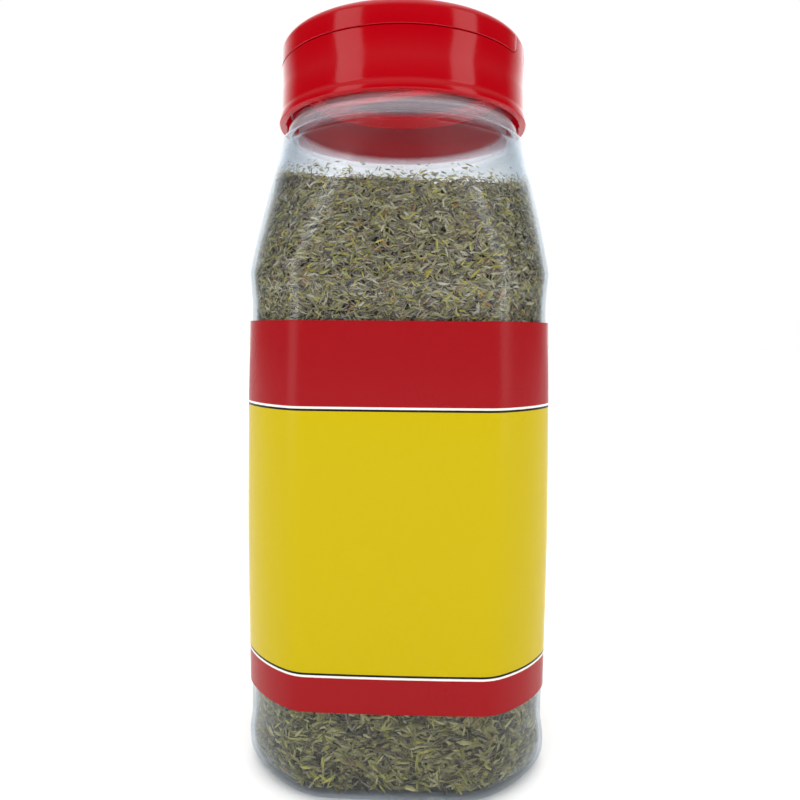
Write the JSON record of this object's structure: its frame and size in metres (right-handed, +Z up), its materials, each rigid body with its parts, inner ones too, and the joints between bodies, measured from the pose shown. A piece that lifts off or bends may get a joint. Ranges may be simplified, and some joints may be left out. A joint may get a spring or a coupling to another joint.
{
  "type": "jar of dried thyme",
  "caption": "Square clear plastic catering jar filled with dried thyme leaves, wrapped label, red screw cap with two hinged flaps",
  "frame": {"origin": "centre of the jar's base, on the surface it stands on", "axes": "+Z up along the jar's axis, front face of the jar towards -Y"},
  "size_m": [0.0826, 0.0826, 0.2018],
  "materials": {
    "clear_pet": "clear gloss",
    "dried_leaf": "matte dried leaves",
    "label_film": "semi-gloss printed film",
    "red_cap": "gloss moulded"
  },
  "bodies": {
    "jar": {"jar": "clear_pet", "jar_neck": "clear_pet", "thyme": "dried_leaf", "label": "label_film"},
    "cap": {"cap": "red_cap"},
    "flap_sift": {"flap_sift": "red_cap"},
    "flap_pour": {"flap_pour": "red_cap"}
  },
  "joints": [
    {"name": "cap_turn", "type": "hinge", "parent": "jar", "child": "cap", "pos_m": [0, 0, 0.1785], "axis": [0, 0, 1], "range_deg": [0, 450]},
    {"name": "sift_flap_hinge", "type": "hinge", "parent": "cap", "child": "flap_sift", "pos_m": [-0.00159, -0.00394, 0.2018], "axis": [-0.9272, 0.3746, 0], "range_deg": [0, 95]},
    {"name": "pour_flap_hinge", "type": "hinge", "parent": "cap", "child": "flap_pour", "pos_m": [0.00159, 0.00394, 0.2018], "axis": [0.9272, -0.3746, 0], "range_deg": [0, 95]}
  ]
}
